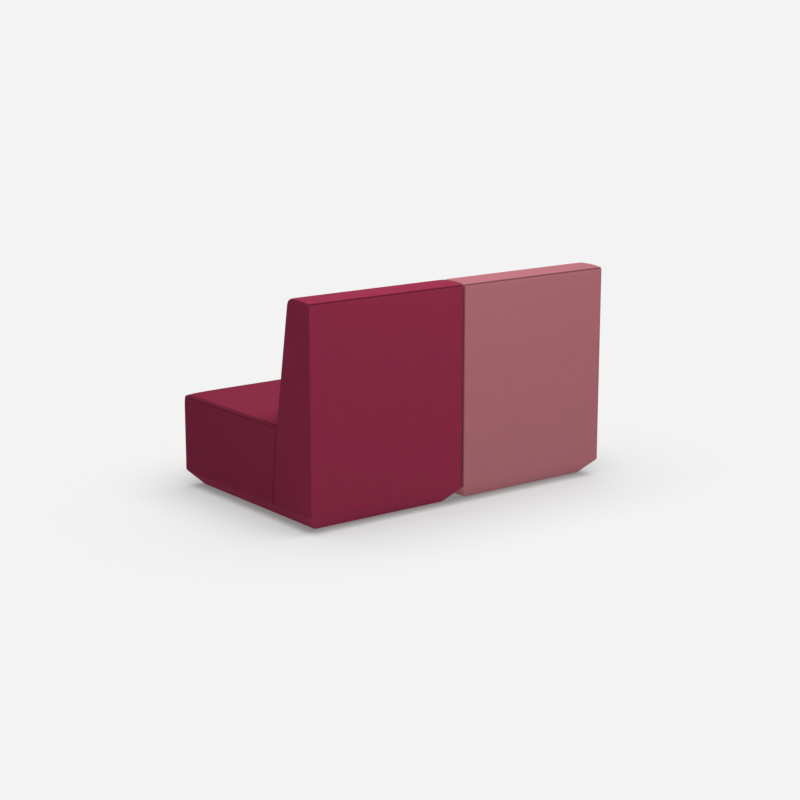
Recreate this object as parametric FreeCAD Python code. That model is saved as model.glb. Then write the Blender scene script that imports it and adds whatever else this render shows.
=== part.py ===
# High-back two-seat sofa: two upholstered seat modules, side by side and linked underneath.
# Millimetres. +Z is up, the seats face -Y, and the origin is on the floor under the sofa's middle.
# Left and right are the sitter's, so the left module is at +X.
import FreeCAD, Part
import math
import os

# Overall sizes
module_width = 800.0
module_gap = 2.0
depth = 990.0
back_height = 973.0
seat_height = 415.0
underside_height = 8.0

# Back block in side view: thickness forward of its upright rear face, and the fall of its top to the rear
back_top_depth = 152.0
back_seat_depth = 247.0
back_base_depth = 289.0
back_top_fall = 7.0
back_top_fall_run = 43.0

# Bevel round the foot of each module, and the gap where the seat meets the back
bevel_inset = 62.0
bevel_height = 66.0
block_gap = 1.0

# Soft edges and crowns: a rounding's run is from the sharp corner to where the curve starts
side_edge_radius = 12.0
back_top_front_run = 34.0
back_waist_run = 40.0
back_crown = 8.0
seat_front_run = 16.0
seat_crown = 8.0
crown_at_sides = 1.5
crest_share = 0.75

# Upholstery layers
cover_thickness = 2.0
soft_clearance = 0.3
hem_width = 24.0
hem_gap = 1.0
dust_cover_thickness = 1.0
seat_top_foam_thickness = 83.0
back_front_foam_thickness = 45.0
back_top_foam_thickness = 40.0
back_rear_foam_thickness = 15.0
back_foam_ledge_drop = 30.0

# Timber frame
board_margin = 4.0
board_thickness = 18.0
seat_rail_thickness = 20.0
corner_block_size = 40.0
corner_block_drop = 25.0
gable_thickness = 18.0
back_rail_thickness = 25.0
back_upper_rail_height = 120.0
back_lower_rail_height = 110.0
rear_panel_thickness = 3.0

# Webbing straps
webbing_width = 60.0
webbing_thickness = 2.0
seat_strap_count = 6
back_strap_count = 5

# Bolts that hold the back to the seat
bolt_radius = 4.0
bolt_clearance = 0.5
bolt_head_radius = 8.0
bolt_head_height = 5.0
bolt_end = 6.0
bolt_spacing = 400.0
upper_bolt_drop = 55.0
lower_bolt_rise = 60.0
tee_nut_clearance = 0.1
tee_nut_wall = 1.2
tee_nut_barrel_length = 12.0
tee_nut_flange_radius = 11.0
tee_nut_flange_thickness = 1.6

# Glides and their screws
glide_radius = 20.0
glide_inset = 60.0
screw_radius = 2.0
screw_clearance = 0.1
screw_head_radius = 4.5
screw_head_height = 3.0
screw_head_recess = 4.0
screw_bite = 14.0
counterbore_clearance = 0.5

# Link plates under the base, their pivot bolts and the catch studs
link_inset = 46.0
front_link_setback = 119.0
rear_link_setback = 41.28
link_half_width = 18.0
link_thickness = 3.0
link_top_gap = 0.8
link_play = 0.2
link_shoulder_radius = 5.0
link_running_clearance = 0.05
link_slot_clearance = 1.0
link_head_radius = 9.0
link_head_thickness = 2.4
link_shank_radius = 3.0
link_shank_bite = 15.0

# Values worked out from the sizes above
half_width = module_width / 2
front_y = -depth / 2
rear_y = depth / 2
frame_half = half_width - bevel_inset - board_margin
frame_front_y = front_y + bevel_inset + board_margin
frame_rear_y = rear_y - bevel_inset - board_margin
board_bottom = underside_height + cover_thickness
board_top = board_bottom + board_thickness
dust_cover_bottom = board_bottom - dust_cover_thickness
seat_frame_top = seat_height - cover_thickness - seat_top_foam_thickness - webbing_thickness
back_frame_top = back_height - cover_thickness - back_top_foam_thickness
back_frame_rear_y = rear_y - cover_thickness - back_rear_foam_thickness - rear_panel_thickness
back_ledge_z = seat_height - back_foam_ledge_drop
back_front_inset = cover_thickness + back_front_foam_thickness + webbing_thickness
joint_wall = block_gap / 2 + cover_thickness
joint_slope = (back_base_depth - back_seat_depth) / (seat_height - underside_height)
joint_lean = math.atan(joint_slope)
front_slope = (back_seat_depth - back_top_depth) / (back_height - seat_height)
front_lean = math.atan(front_slope)
foam_inset = cover_thickness + soft_clearance
module_x = (module_width + module_gap) / 2
link_reach = module_gap / 2 + bevel_inset + board_margin + link_inset
front_link_y = frame_front_y + front_link_setback
beyond = depth + module_width + back_height


def joint_y(z, forward):
    """The seam plane between seat and back at height z, moved square to itself towards the front."""
    return rear_y - back_seat_depth - (seat_height - z) * joint_slope - forward / math.cos(joint_lean)


def rear_link_y():
    """The rear link's place, behind the front edge of the back's base board."""
    return joint_y(board_bottom, -joint_wall) + rear_link_setback


def back_face_y(z, inwards):
    """The back's front face at height z, moved square to itself into the block."""
    return rear_y - back_top_depth - (back_height - z) * front_slope + inwards / math.cos(front_lean)


def box(x_low, x_high, y_low, y_high, z_low, z_high):
    corner = FreeCAD.Vector(x_low, y_low, z_low)
    return Part.makeBox(x_high - x_low, y_high - y_low, z_high - z_low, corner)


def side_extrusion(outline, x_low, x_high):
    """A prism along X from (y, z) corner points."""
    points = [FreeCAD.Vector(x_low, y, z) for y, z in outline]
    face = Part.Face(Part.makePolygon(points + points[:1]))
    return face.extrude(FreeCAD.Vector(x_high - x_low, 0, 0))


def front_extrusion(outline, y_low, y_high):
    """A prism along Y from (x, z) corner points."""
    points = [FreeCAD.Vector(x, y_low, z) for x, z in outline]
    face = Part.Face(Part.makePolygon(points + points[:1]))
    return face.extrude(FreeCAD.Vector(0, y_high - y_low, 0))


def upright_cylinder(radius, x, y, z_low, z_high):
    return Part.makeCylinder(radius, z_high - z_low, FreeCAD.Vector(x, y, z_low))


def shrink(corners, insets):
    """A counterclockwise outline whose edges, each from its corner to the next, move in by their insets."""
    lines = []
    for (ay, az), (by, bz), inset in zip(corners, corners[1:] + corners[:1], insets):
        length = math.hypot(by - ay, bz - az)
        uy = (by - ay) / length
        uz = (bz - az) / length
        lines.append((ay - uz * inset, az + uy * inset, uy, uz))
    moved = []
    for (py, pz, uy, uz), (qy, qz, vy, vz) in zip(lines[-1:] + lines[:-1], lines):
        along = ((qy - py) * vz - (qz - pz) * vy) / (uy * vz - uz * vy)
        moved.append((py + uy * along, pz + uz * along))
    return moved


def rounded_wire(x, corners, runs):
    """A closed side-view wire at x, each corner rounded by an arc that starts its run from the corner."""
    arcs = []
    for index, ((y, z), run) in enumerate(zip(corners, runs)):
        corner = FreeCAD.Vector(x, y, z)
        before = FreeCAD.Vector(x, *corners[index - 1])
        after = FreeCAD.Vector(x, *corners[(index + 1) % len(corners)])
        back = (before - corner).normalize()
        ahead = (after - corner).normalize()
        if run == 0:
            arcs.append((corner, None, corner))
            continue
        half_turn = (math.pi - back.getAngle(ahead)) / 2
        radius = run / math.tan(half_turn)
        inwards = (back + ahead).normalize()
        middle = corner + inwards * (math.hypot(run, radius) - radius)
        arcs.append((corner + back * run, middle, corner + ahead * run))
    edges = []
    for (start, middle, end), following in zip(arcs, arcs[1:] + arcs[:1]):
        if middle is not None:
            edges.append(Part.Arc(start, middle, end).toShape())
        edges.append(Part.LineSegment(end, following[0]).toShape())
    return Part.Wire(edges)


def edge_radius(inset):
    return max(side_edge_radius - inset, 1)


def seat_outline(inset, crown):
    """The seat block in side view: foot, seam plane, crowned top and upright front."""
    corners = [
        (front_y, underside_height),
        (joint_y(underside_height, 0), underside_height),
        (joint_y(seat_height, 0), seat_height),
        ((front_y + joint_y(seat_height, 0)) / 2, seat_height + crown),
        (front_y, seat_height),
    ]
    crown_run = (joint_y(seat_height, 0) - front_y) / 4
    runs = [0, 0, edge_radius(inset), crown_run, max(seat_front_run - inset, edge_radius(inset))]
    return shrink(corners, [inset, inset + block_gap / 2, inset, inset, inset]), runs


def back_outline(inset, crown):
    """The back block in side view: foot, upright rear, falling top, crowned front and seam plane."""
    middle_z = (back_height + seat_height) / 2
    corners = [
        (rear_y, underside_height),
        (rear_y, back_height - back_top_fall),
        (rear_y - back_top_fall_run, back_height),
        (rear_y - back_top_depth, back_height),
        (back_face_y(middle_z, -crown), middle_z),
        (joint_y(seat_height, 0), seat_height),
        (joint_y(underside_height, 0), underside_height),
    ]
    crown_run = (back_height - seat_height) / 4
    crest_run = (back_top_fall_run - edge_radius(0)) * crest_share
    front_run = max(back_top_front_run - inset, edge_radius(inset))
    runs = [0, edge_radius(inset), crest_run, front_run, crown_run, back_waist_run, 0]
    return shrink(corners, [inset, inset, inset, inset, inset, inset + block_gap / 2, inset]), runs


def bevel_triangle(face, outwards, inset):
    """Corner points, across and up, of the wedge under the bevel of the side whose face is given."""
    slant = math.hypot(bevel_inset, bevel_height)
    across = face - outwards * (bevel_inset + inset * bevel_height / slant)
    up = underside_height + inset * bevel_inset / slant
    low = (across - outwards * bevel_inset, up - bevel_height)
    high = (across + outwards * 2 * bevel_inset, up + 2 * bevel_height)
    return [low, (high[0], low[1]), high]


def soft_block(outline, crown, end_face, end_outwards, inset):
    """A crowned block with soft side edges and a bevelled foot, all its faces moved in by inset."""
    half = half_width - inset
    sections = []
    for x, rise in ((-half, crown_at_sides), (0, crown), (half, crown_at_sides)):
        sections.append(rounded_wire(x, *outline(inset, rise)))
    block = Part.makeLoft(sections, True)
    rim = []
    for edge in block.Edges:
        bounds = edge.BoundBox
        on_side = bounds.XLength < 0.01 and abs(abs(bounds.XMin) - half) < 0.01
        if on_side and bounds.ZMax > underside_height + inset + 0.01:
            rim.append(edge)
    block = block.makeFillet(edge_radius(inset), rim)
    for side in (-1, 1):
        triangle = bevel_triangle(side * half_width, side, inset)
        block = block.cut(front_extrusion(triangle, -beyond, beyond))
    triangle = bevel_triangle(end_face, end_outwards, inset)
    return block.cut(side_extrusion(triangle, -beyond, beyond))


def seat_block(inset):
    return soft_block(seat_outline, seat_crown, front_y, -1, inset)


def back_block(inset):
    return soft_block(back_outline, back_crown, rear_y, 1, inset)


def leaning_board(x_low, x_high, near, far, z_low, z_high):
    """A board parallel to the seam plane, between two distances in front of it."""
    outline = [
        (joint_y(z_low, near), z_low),
        (joint_y(z_high, near), z_high),
        (joint_y(z_high, far), z_high),
        (joint_y(z_low, far), z_low),
    ]
    return side_extrusion(outline, x_low, x_high)


def joint_cylinder(radius, x, z, near, far):
    """A cylinder square to the seam plane, between two distances in front of it."""
    across = FreeCAD.Vector(0, -math.cos(joint_lean), math.sin(joint_lean))
    start = FreeCAD.Vector(x, joint_y(z, 0), z) + across * near
    return Part.makeCylinder(radius, far - near, start, across)


def bolt_places():
    """Each joining bolt's x and height on the seam plane."""
    places = []
    for x in (-bolt_spacing / 2, bolt_spacing / 2):
        places.append((x, seat_frame_top - upper_bolt_drop))
        places.append((x, board_top + lower_bolt_rise))
    return places


def bolt_holes(radius):
    """Holes for the joining bolts, right through the covers and the rails on both sides of the seam."""
    near = -joint_wall - 2 * back_rail_thickness
    far = joint_wall + 2 * seat_rail_thickness
    holes = [joint_cylinder(radius, x, z, near, far) for x, z in bolt_places()]
    return Part.makeCompound(holes)


def seat_glide_places():
    y = frame_front_y + glide_inset
    return [(-frame_half + glide_inset, y), (frame_half - glide_inset, y)]


def back_glide_places():
    y = frame_rear_y - glide_inset
    return [(-frame_half + glide_inset, y), (frame_half - glide_inset, y)]


def foot_opening(y_low, y_high, shrink_by, z_low, z_high):
    """The opening inside the hem of a cover's foot, or the sheet that fills it."""
    half = half_width - bevel_inset - hem_width - shrink_by
    return box(-half, half, y_low + hem_width + shrink_by, y_high - hem_width - shrink_by, z_low, z_high)


def seat_foot():
    return front_y + bevel_inset, joint_y(underside_height, block_gap / 2)


def back_foot():
    return joint_y(underside_height, -block_gap / 2), rear_y - bevel_inset


def cover(block, foot):
    """The sewn cover: a shell open at the foot inside its hem, with holes for the joining bolts."""
    shell = block(0).cut(block(cover_thickness))
    shell = shell.cut(foot_opening(*foot, 0, 0, board_top))
    return shell.cut(bolt_holes(bolt_radius + bolt_clearance))


def under_holes(glide_places, link_places, screw_hole, link_hole):
    """Upright holes through a base board or dust cover, for glide screws and link bolts."""
    holes = [upright_cylinder(screw_hole, x, y, 0, board_top * 2) for x, y in glide_places]
    holes += [upright_cylinder(link_hole, x, y, 0, board_top * 2) for x, y in link_places]
    return Part.makeCompound(holes)


def drilled_board(outline, glide_places, link_places):
    board = side_extrusion(outline, -frame_half, frame_half)
    screw_hole = screw_radius + screw_clearance
    link_hole = link_shank_radius + screw_clearance
    return board.cut(under_holes(glide_places, link_places, screw_hole, link_hole))


def dust_cover(foot, glide_places, link_places):
    sheet = foot_opening(*foot, hem_gap, dust_cover_bottom, board_bottom)
    screw_hole = screw_radius + screw_clearance
    link_hole = link_shoulder_radius + bolt_clearance
    return sheet.cut(under_holes(glide_places, link_places, screw_hole, link_hole))


def seat_foams():
    """The foam on top of the webbing, and the border round the frame that shapes the bevel."""
    foam = seat_block(foam_inset)
    split_z = seat_frame_top + webbing_thickness + soft_clearance
    reach = frame_half + soft_clearance
    frame_room = box(-reach, reach, frame_front_y - soft_clearance, beyond, -beyond, split_z)
    above = box(-beyond, beyond, -beyond, beyond, split_z, beyond)
    return foam.common(above), foam.cut(above).cut(frame_room)


def seat_straps():
    low = frame_front_y
    high = joint_y(seat_frame_top, joint_wall)
    step = (high - low) / seat_strap_count
    straps = []
    for index in range(seat_strap_count):
        middle = low + step * (index + 0.5)
        y_low = middle - webbing_width / 2
        top = seat_frame_top + webbing_thickness
        straps.append(box(-frame_half, frame_half, y_low, y_low + webbing_width, seat_frame_top, top))
    return Part.makeCompound(straps)


def seat_frame():
    """Rails, corner blocks and base board of the seat's box frame, by name."""
    rail = seat_rail_thickness
    inner_half = frame_half - rail
    front_inside = frame_front_y + rail
    rear_inside = joint_wall + rail
    block_top = seat_frame_top - corner_block_drop
    holes = bolt_holes(bolt_radius + bolt_clearance)
    rear_rail = leaning_board(-frame_half, frame_half, joint_wall, rear_inside, board_top, seat_frame_top)
    side_outline = [
        (front_inside, board_top),
        (joint_y(board_top, rear_inside), board_top),
        (joint_y(seat_frame_top, rear_inside), seat_frame_top),
        (front_inside, seat_frame_top),
    ]
    blocks = []
    for x_low in (-inner_half, inner_half - corner_block_size):
        x_high = x_low + corner_block_size
        y_high = front_inside + corner_block_size
        far = rear_inside + corner_block_size
        blocks.append(box(x_low, x_high, front_inside, y_high, board_top, block_top))
        blocks.append(leaning_board(x_low, x_high, rear_inside, far, board_top, block_top))
    return {
        "front_rail": box(-frame_half, frame_half, frame_front_y, front_inside, board_top, seat_frame_top),
        "rear_rail": rear_rail.cut(holes),
        "low_x_rail": side_extrusion(side_outline, -frame_half, -inner_half),
        "high_x_rail": side_extrusion(side_outline, inner_half, frame_half),
        "corner_blocks": Part.makeCompound(blocks),
    }


def seat_board(link_places):
    outline = [
        (frame_front_y, board_bottom),
        (joint_y(board_bottom, joint_wall), board_bottom),
        (joint_y(board_top, joint_wall), board_top),
        (frame_front_y, board_top),
    ]
    return drilled_board(outline, seat_glide_places(), link_places)


def back_board(link_places):
    outline = [
        (joint_y(board_bottom, -joint_wall), board_bottom),
        (frame_rear_y, board_bottom),
        (frame_rear_y, board_top),
        (joint_y(board_top, -joint_wall), board_top),
    ]
    return drilled_board(outline, back_glide_places(), link_places)


def back_chamfer_top():
    """Where the gable's sloped foot, parallel to the bevel, reaches its upright rear edge."""
    return board_top + (back_frame_rear_y - frame_rear_y) * bevel_height / bevel_inset


def gable_outline():
    return [
        (joint_y(board_top, -joint_wall), board_top),
        (frame_rear_y, board_top),
        (back_frame_rear_y, back_chamfer_top()),
        (back_frame_rear_y, back_frame_top),
        (back_face_y(back_frame_top, back_front_inset), back_frame_top),
        (back_face_y(back_ledge_z, back_front_inset), back_ledge_z),
        (joint_y(back_ledge_z, -joint_wall), back_ledge_z),
    ]


def back_foams():
    """The slab in front of the webbing, and the wrap round the sides, top and rear of the frame."""
    foam = back_block(foam_inset)
    reach = frame_half + soft_clearance
    room_rear_y = back_frame_rear_y + rear_panel_thickness + soft_clearance
    room_top = back_frame_top + soft_clearance
    slab_inset = back_front_inset - webbing_thickness - soft_clearance
    frame_room = side_extrusion(
        [
            (-beyond, -beyond),
            (frame_rear_y + soft_clearance, -beyond),
            (frame_rear_y + soft_clearance, board_top),
            (room_rear_y, back_chamfer_top()),
            (room_rear_y, room_top),
            (back_face_y(room_top, slab_inset), room_top),
            (back_face_y(back_ledge_z, slab_inset), back_ledge_z),
            (-beyond, back_ledge_z),
        ],
        -reach,
        reach,
    )
    slab_room = side_extrusion(
        [
            (-beyond, back_ledge_z),
            (back_face_y(back_ledge_z, slab_inset), back_ledge_z),
            (back_face_y(beyond, slab_inset), beyond),
            (-beyond, beyond),
        ],
        -reach,
        reach,
    )
    slab_top = box(-beyond, beyond, -beyond, beyond, room_top, beyond)
    slab_room = slab_room.cut(slab_top)
    return foam.common(slab_room), foam.cut(slab_room).cut(frame_room)


def back_straps():
    step = (back_frame_top - back_ledge_z) / back_strap_count
    straps = []
    for index in range(back_strap_count):
        low = back_ledge_z + step * (index + 0.5) - webbing_width / 2
        high = low + webbing_width
        outline = [
            (back_face_y(low, back_front_inset), low),
            (back_face_y(high, back_front_inset), high),
            (back_face_y(high, back_front_inset - webbing_thickness), high),
            (back_face_y(low, back_front_inset - webbing_thickness), low),
        ]
        straps.append(side_extrusion(outline, -frame_half, frame_half))
    return Part.makeCompound(straps)


def back_frame():
    """Gables, boards, rails and rear panel of the back's frame, by name."""
    inner_half = frame_half - gable_thickness
    rail_far = -joint_wall - back_rail_thickness
    upper_low = back_ledge_z - back_upper_rail_height
    lower_high = board_top + back_lower_rail_height
    panel_y = back_frame_rear_y + rear_panel_thickness
    nut_holes = bolt_holes(bolt_radius + tee_nut_clearance + tee_nut_wall + tee_nut_clearance)
    upper = leaning_board(-inner_half, inner_half, -joint_wall, rail_far, upper_low, back_ledge_z)
    lower = leaning_board(-inner_half, inner_half, -joint_wall, rail_far, board_top, lower_high)
    top_low = back_frame_top - board_thickness
    top_outline = [
        (back_face_y(top_low, back_front_inset), top_low),
        (back_frame_rear_y, top_low),
        (back_frame_rear_y, back_frame_top),
        (back_face_y(back_frame_top, back_front_inset), back_frame_top),
    ]
    panel_low = back_chamfer_top()
    return {
        "low_x_gable": side_extrusion(gable_outline(), -frame_half, -inner_half),
        "high_x_gable": side_extrusion(gable_outline(), inner_half, frame_half),
        "top_board": side_extrusion(top_outline, -inner_half, inner_half),
        "upper_rail": upper.cut(nut_holes),
        "lower_rail": lower.cut(nut_holes),
        "rear_panel": box(-frame_half, frame_half, back_frame_rear_y, panel_y, panel_low, back_frame_top),
    }


def joining_bolts():
    """Flanged bolts through the seat's rear rail into the tee nuts in the back's rails."""
    head_at = joint_wall + seat_rail_thickness
    tip_at = -joint_wall - back_rail_thickness - tee_nut_flange_thickness - bolt_end
    bolts = []
    for x, z in bolt_places():
        shank = joint_cylinder(bolt_radius, x, z, tip_at, head_at)
        head = joint_cylinder(bolt_head_radius, x, z, head_at, head_at + bolt_head_height)
        bolts.append(shank.fuse(head).removeSplitter())
    return Part.makeCompound(bolts)


def tee_nuts():
    rail_face = -joint_wall - back_rail_thickness
    bore = bolt_radius + tee_nut_clearance
    nuts = []
    for x, z in bolt_places():
        flange = joint_cylinder(tee_nut_flange_radius, x, z, rail_face - tee_nut_flange_thickness, rail_face)
        barrel = joint_cylinder(bore + tee_nut_wall, x, z, rail_face, rail_face + tee_nut_barrel_length)
        nut = flange.fuse(barrel)
        hole = joint_cylinder(bore, x, z, rail_face - back_rail_thickness, rail_face + back_rail_thickness)
        nuts.append(nut.cut(hole).removeSplitter())
    return Part.makeCompound(nuts)


def glides():
    pads = []
    for x, y in seat_glide_places() + back_glide_places():
        pad = upright_cylinder(glide_radius, x, y, 0, dust_cover_bottom)
        hole = upright_cylinder(screw_radius + screw_clearance, x, y, 0, dust_cover_bottom)
        recess = upright_cylinder(screw_head_radius + counterbore_clearance, x, y, 0, screw_head_recess)
        pads.append(pad.cut(hole).cut(recess))
    return Part.makeCompound(pads)


def glide_screws():
    screws = []
    for x, y in seat_glide_places() + back_glide_places():
        head_low = screw_head_recess - screw_head_height
        head = upright_cylinder(screw_head_radius, x, y, head_low, screw_head_recess)
        shank = upright_cylinder(screw_radius, x, y, screw_head_recess, board_bottom + screw_bite)
        screws.append(head.fuse(shank).removeSplitter())
    return Part.makeCompound(screws)


def link_plate_top():
    return underside_height - link_top_gap


def link_bolts(x):
    """Shouldered bolts up into the base boards at x, one for each link plate."""
    head_top = link_plate_top() - link_thickness - link_play
    bolts = []
    for y in (front_link_y, rear_link_y()):
        head = upright_cylinder(link_head_radius, x, y, head_top - link_head_thickness, head_top)
        shoulder = upright_cylinder(link_shoulder_radius, x, y, head_top, board_bottom)
        shank = upright_cylinder(link_shank_radius, x, y, board_bottom, board_bottom + link_shank_bite)
        bolts.append(head.fuse(shoulder).fuse(shank).removeSplitter())
    return Part.makeCompound(bolts)


def link_plate(y, open_side):
    """A flat hook from its pivot at +X to the stud at -X, with a slot open towards open_side along Y."""
    high = link_plate_top()
    low = high - link_thickness
    plate = box(-link_reach, link_reach, y - link_half_width, y + link_half_width, low, high)
    for x in (-link_reach, link_reach):
        plate = plate.fuse(upright_cylinder(link_half_width, x, y, low, high))
    pivot_radius = link_shoulder_radius + link_running_clearance
    plate = plate.removeSplitter().cut(upright_cylinder(pivot_radius, link_reach, y, low, high))
    slot_half = link_shoulder_radius + link_slot_clearance
    mouth = y + open_side * link_half_width * 2
    slot = box(-link_reach - slot_half, -link_reach + slot_half, min(y, mouth), max(y, mouth), low, high)
    slot = slot.fuse(upright_cylinder(slot_half, -link_reach, y, low, high)).removeSplitter()
    return plate.cut(slot)


def module(side):
    """Every piece of one module by name, about the module's own middle; side is +1 for the left one."""
    link_x = side * (link_reach - module_x)
    seat_links = [(link_x, front_link_y)]
    back_links = [(link_x, rear_link_y())]
    inner, outer = ("low_x", "high_x") if side > 0 else ("high_x", "low_x")
    seat = seat_frame()
    back = back_frame()
    seat_top_foam, seat_border_foam = seat_foams()
    back_front_foam, back_wrap_foam = back_foams()
    return {
        "seat_cover": cover(seat_block, seat_foot()),
        "seat_top_foam": seat_top_foam,
        "seat_border_foam": seat_border_foam,
        "seat_webbing": seat_straps(),
        "seat_front_rail": seat["front_rail"],
        "seat_rear_rail": seat["rear_rail"],
        "seat_inner_rail": seat[inner + "_rail"],
        "seat_outer_rail": seat[outer + "_rail"],
        "seat_corner_blocks": seat["corner_blocks"],
        "seat_base_board": seat_board(seat_links),
        "seat_dust_cover": dust_cover(seat_foot(), seat_glide_places(), seat_links),
        "back_cover": cover(back_block, back_foot()),
        "back_front_foam": back_front_foam,
        "back_wrap_foam": back_wrap_foam,
        "back_webbing": back_straps(),
        "back_inner_gable": back[inner + "_gable"],
        "back_outer_gable": back[outer + "_gable"],
        "back_top_board": back["top_board"],
        "back_upper_rail": back["upper_rail"],
        "back_lower_rail": back["lower_rail"],
        "back_rear_panel": back["rear_panel"],
        "back_base_board": back_board(back_links),
        "back_dust_cover": dust_cover(back_foot(), back_glide_places(), back_links),
        "joining_bolts": joining_bolts(),
        "tee_nuts": tee_nuts(),
        "glides": glides(),
        "glide_screws": glide_screws(),
    }


def sofa():
    """Every piece of the sofa by node name, in place."""
    pieces = {}
    for name, side in (("left", 1), ("right", -1)):
        for piece, shape in module(side).items():
            placed = shape.copy()
            placed.translate(FreeCAD.Vector(side * module_x, 0, 0))
            pieces[name + "_" + piece] = placed
    pieces["front_link_plate"] = link_plate(front_link_y, -1)
    pieces["rear_link_plate"] = link_plate(rear_link_y(), 1)
    pieces["link_pivot_bolts"] = link_bolts(link_reach)
    pieces["link_catch_studs"] = link_bolts(-link_reach)
    return pieces


def main():
    os.makedirs("parts", exist_ok=True)
    for name, shape in sofa().items():
        shape.exportStep(os.path.join("parts", name + ".step"))
        print(name, len(shape.Solids), "solids", round(shape.Volume / 1000), "cm3", shape.isValid())


main()
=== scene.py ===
# High-back two-seat sofa: sewn covers, stitching, materials, floor, light and camera.
# Metres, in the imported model's frame: +Z is up and the seats face -Y.
import bmesh
import bpy
import math
import numpy as np
from mathutils import Matrix, Vector
from mathutils.bvhtree import BVHTree
from mathutils.kdtree import KDTree


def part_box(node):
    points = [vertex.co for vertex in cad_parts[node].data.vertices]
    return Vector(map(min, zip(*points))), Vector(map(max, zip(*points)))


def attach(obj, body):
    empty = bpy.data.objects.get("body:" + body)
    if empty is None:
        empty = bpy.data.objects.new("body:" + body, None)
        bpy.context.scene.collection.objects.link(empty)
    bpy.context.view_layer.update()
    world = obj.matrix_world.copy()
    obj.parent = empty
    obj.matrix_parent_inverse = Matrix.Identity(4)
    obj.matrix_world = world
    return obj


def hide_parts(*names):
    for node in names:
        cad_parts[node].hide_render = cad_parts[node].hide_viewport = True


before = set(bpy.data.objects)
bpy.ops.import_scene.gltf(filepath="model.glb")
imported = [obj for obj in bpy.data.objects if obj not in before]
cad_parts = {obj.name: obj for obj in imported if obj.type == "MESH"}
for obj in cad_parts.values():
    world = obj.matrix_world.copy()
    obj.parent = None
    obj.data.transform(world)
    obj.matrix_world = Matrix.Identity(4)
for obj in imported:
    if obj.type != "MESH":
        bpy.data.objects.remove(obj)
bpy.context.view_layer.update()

# Block sizes that the frame's boxes don't give
seat_height = 0.415
back_top_depth = 0.152
back_seat_depth = 0.247
back_base_depth = 0.289
back_top_fall = 0.007
back_top_fall_run = 0.043
bevel_inset = 0.062
bevel_height = 0.066
block_gap = 0.001
front_proud = 0.010
hem_width = 0.024
hem_rise = 0.0024

# Roundings of the side view: the run from the sharp corner to where the curve starts
crest_run = 0.023
back_top_front_run = 0.034
back_waist_run = 0.040
curve_samples = 16

# Rolled edges
back_roll = 0.009
seat_roll = 0.0065
roll_segments = 6
roll_profile = 0.5
hem_weight = 0.3

# Fuller roundings of the seat's front, which change towards its corners
seat_front_roll = 0.016
seat_corner_roll = 0.028
seat_foot_roll = 0.012
seat_fold_run = 0.024
seat_corner_reach = 0.050

# Rows of points beside a rolled edge, counted from where the roll ends
row_steps = (0.0004, 0.0012, 0.0026, 0.0065, 0.0155, 0.0310)
groove_step = row_steps[1]

# Panel divisions between the rows beside the edges
across_count = 14
depth_count = 3
height_count = 16
bevel_count = 1
seat_depth_count = 12
seat_height_count = 5

# Points this close are one point, and points this close to a border are on it
weld_distance = 2e-5
border_distance = 1e-7

# Seams on the roll's own line: (depth, painted shade in the fabric's colour)
plain_seam = (0.0006, 0.12)
side_seam = (0.0010, 0.35)
top_seam = (0.0018, 0.95)
gap_seam = (0.0014, 0.80)

# How far such a seam spreads, how many rolls away it ends, and the step along its line
roll_seam_spread = 0.0019
roll_seam_reach = 3
seam_sample_step = 0.002

# Grooves beside the roll: (depth, painted shade, spread towards the edge, spread towards the panel)
fell_groove = (0.0020, 0.60, 0.0018, 0.0018)
topstitch_groove = (0.0022, 1.0, 0.0018, 0.0060)

# How far the padding lifts each panel between its seams: (height, reach from the seam)
flat_lift = (0.0006, 0.020)
side_lift = (0.0010, 0.020)
front_lift = (0.0020, 0.015)
seat_top_lift = (0.0080, 0.040)

# Heights of the blown crowns, and of the seat top's edges over the seat height
seat_crown = 0.0045
seat_edge_rise = 0.0036
seat_front_bow = 0.0018
back_crown = 0.008

# Cloth that is blown up between its seams
cloth_cell = 0.025
cloth_frames = 20
cloth_pressure = 4.0

# Topstitching: lifts are shares of the thread's radius, and the taper is each end's share of it
stitch_pitch = 0.0045
stitch_length = 0.0034
stitch_radius = 0.00045
stitch_sides = 6
stitch_middle_lift = 0.7
stitch_end_lift = -0.2
stitch_taper = 0.6
above_sofa_z = 1.0

# Fabric and thread: colours, tones as shares of them, and pitches
burgundy = (0.352, 0.0335, 0.0835)
dusty_pink = (0.568, 0.199, 0.229)
weave_pitch = 0.0018
dark_thread = 0.85
light_thread = 1.33
# Tone of the painted shade that darkens the fabric in its seams and grooves
painted_shade_tone = 0.35
stitch_tone = 0.6
stitch_dark_tone = 0.7
stitch_twist_pitch = 0.0004
sheen_gain = 1.5
sheen_base = 0.1

# Patches of darker fabric: (scale, darkest tone)
mottling = ((14.0, 0.965), (330.0, 0.85))

# Radians that Blender's wave texture advances in a metre at a scale of 1
wave_factor = 20

# Places of a colour mix's factor and colours among the node's inputs, and of its result
mix_inputs = (0, 6, 7)
mix_output = 2

# Light and floor levels
page_level = 0.896
floor_size = 800.0
floor_colour = 0.30
floor_glow_share = 0.23
side_bounce_level = 0.31
rear_bounce_level = 0.64
side_bounce_y = 0.40
rear_bounce_y = 0.55
world_level = 0.32
world_dark_y = -0.6

# Lamps: azimuths are counted from +X towards +Y
overhead_power = 114.0
overhead_place = (0.05, 1.45, 4.3)
overhead_size = 2.0
fill_level = 1.22
fill_azimuth = math.radians(287)
fill_elevation = math.radians(9)
fill_spread = math.radians(60)
floor_sun_level = 9.08
floor_sun_azimuth = math.radians(90)
floor_sun_elevation = math.radians(81)
floor_sun_spread = math.radians(86)

# Camera fitted to the photograph's edges
camera_place = (4.810, 6.351, 2.215)
camera_yaw = -0.6517
camera_pitch = 0.2271
camera_lens = 81.29
camera_sensor = 36.0
camera_reach = 2000.0


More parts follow.
